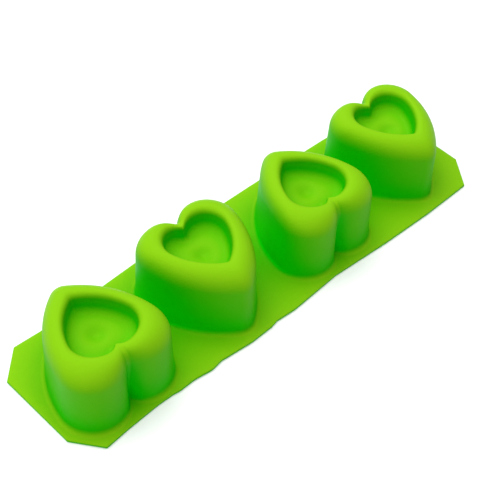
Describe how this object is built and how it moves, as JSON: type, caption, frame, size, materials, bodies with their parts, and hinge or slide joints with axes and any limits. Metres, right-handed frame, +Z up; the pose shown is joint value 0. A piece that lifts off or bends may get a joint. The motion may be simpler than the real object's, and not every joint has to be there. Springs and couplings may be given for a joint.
{
  "type": "silicone soap mould",
  "caption": "Soft strip mould: a thin sheet with a row of heart-shaped cups standing upside down, each closed base recessed; the sheet bends between cups and each base pushes in.",
  "frame": {"origin": "middle of the sheet's outline on its underside, which is the plane it stands on", "axes": "+X along the row of cups, +Y across the row towards the wider margin, +Z up through the closed bases of the cups"},
  "size_m": [0.2426, 0.064, 0.0338],
  "materials": {
    "sheet_silicone": "satin translucent lime green",
    "cup_silicone": "satin translucent lime green",
    "base_silicone": "satin translucent lime green"
  },
  "bodies": {
    "cell_1": {"sheet_panel_1": "sheet_silicone", "cup_wall_1": "cup_silicone"},
    "cell_2": {"sheet_panel_2": "sheet_silicone", "cup_wall_2": "cup_silicone"},
    "cell_3": {"sheet_panel_3": "sheet_silicone", "cup_wall_3": "cup_silicone"},
    "cell_4": {"sheet_panel_4": "sheet_silicone", "cup_wall_4": "cup_silicone"},
    "base_1": {"cup_base_1": "base_silicone"},
    "base_2": {"cup_base_2": "base_silicone"},
    "base_3": {"cup_base_3": "base_silicone"},
    "base_4": {"cup_base_4": "base_silicone"}
  },
  "joints": [
    {"name": "web_bend_1", "type": "hinge", "parent": "cell_2", "child": "cell_1", "pos_m": [-0.06105, -0.0011, 0.0006], "axis": [0, -1, 0], "range_deg": [-25, 60], "stiffness_Nm_per_rad": 0.0022},
    {"name": "web_bend_2", "type": "hinge", "parent": "cell_2", "child": "cell_3", "pos_m": [-0.00105, -0.0011, 0.0006], "axis": [0, 1, 0], "range_deg": [-25, 60], "stiffness_Nm_per_rad": 0.0022},
    {"name": "web_bend_3", "type": "hinge", "parent": "cell_3", "child": "cell_4", "pos_m": [0.05895, -0.0011, 0.0006], "axis": [0, 1, 0], "range_deg": [-25, 60], "stiffness_Nm_per_rad": 0.0022},
    {"name": "base_push_1", "type": "slide", "parent": "cell_1", "child": "base_1", "axis": [0, 0, -1], "range_m": [0, 0.008], "stiffness_N_per_m": 400},
    {"name": "base_push_2", "type": "slide", "parent": "cell_2", "child": "base_2", "axis": [0, 0, -1], "range_m": [0, 0.008], "stiffness_N_per_m": 400},
    {"name": "base_push_3", "type": "slide", "parent": "cell_3", "child": "base_3", "axis": [0, 0, -1], "range_m": [0, 0.008], "stiffness_N_per_m": 400},
    {"name": "base_push_4", "type": "slide", "parent": "cell_4", "child": "base_4", "axis": [0, 0, -1], "range_m": [0, 0.008], "stiffness_N_per_m": 400}
  ]
}
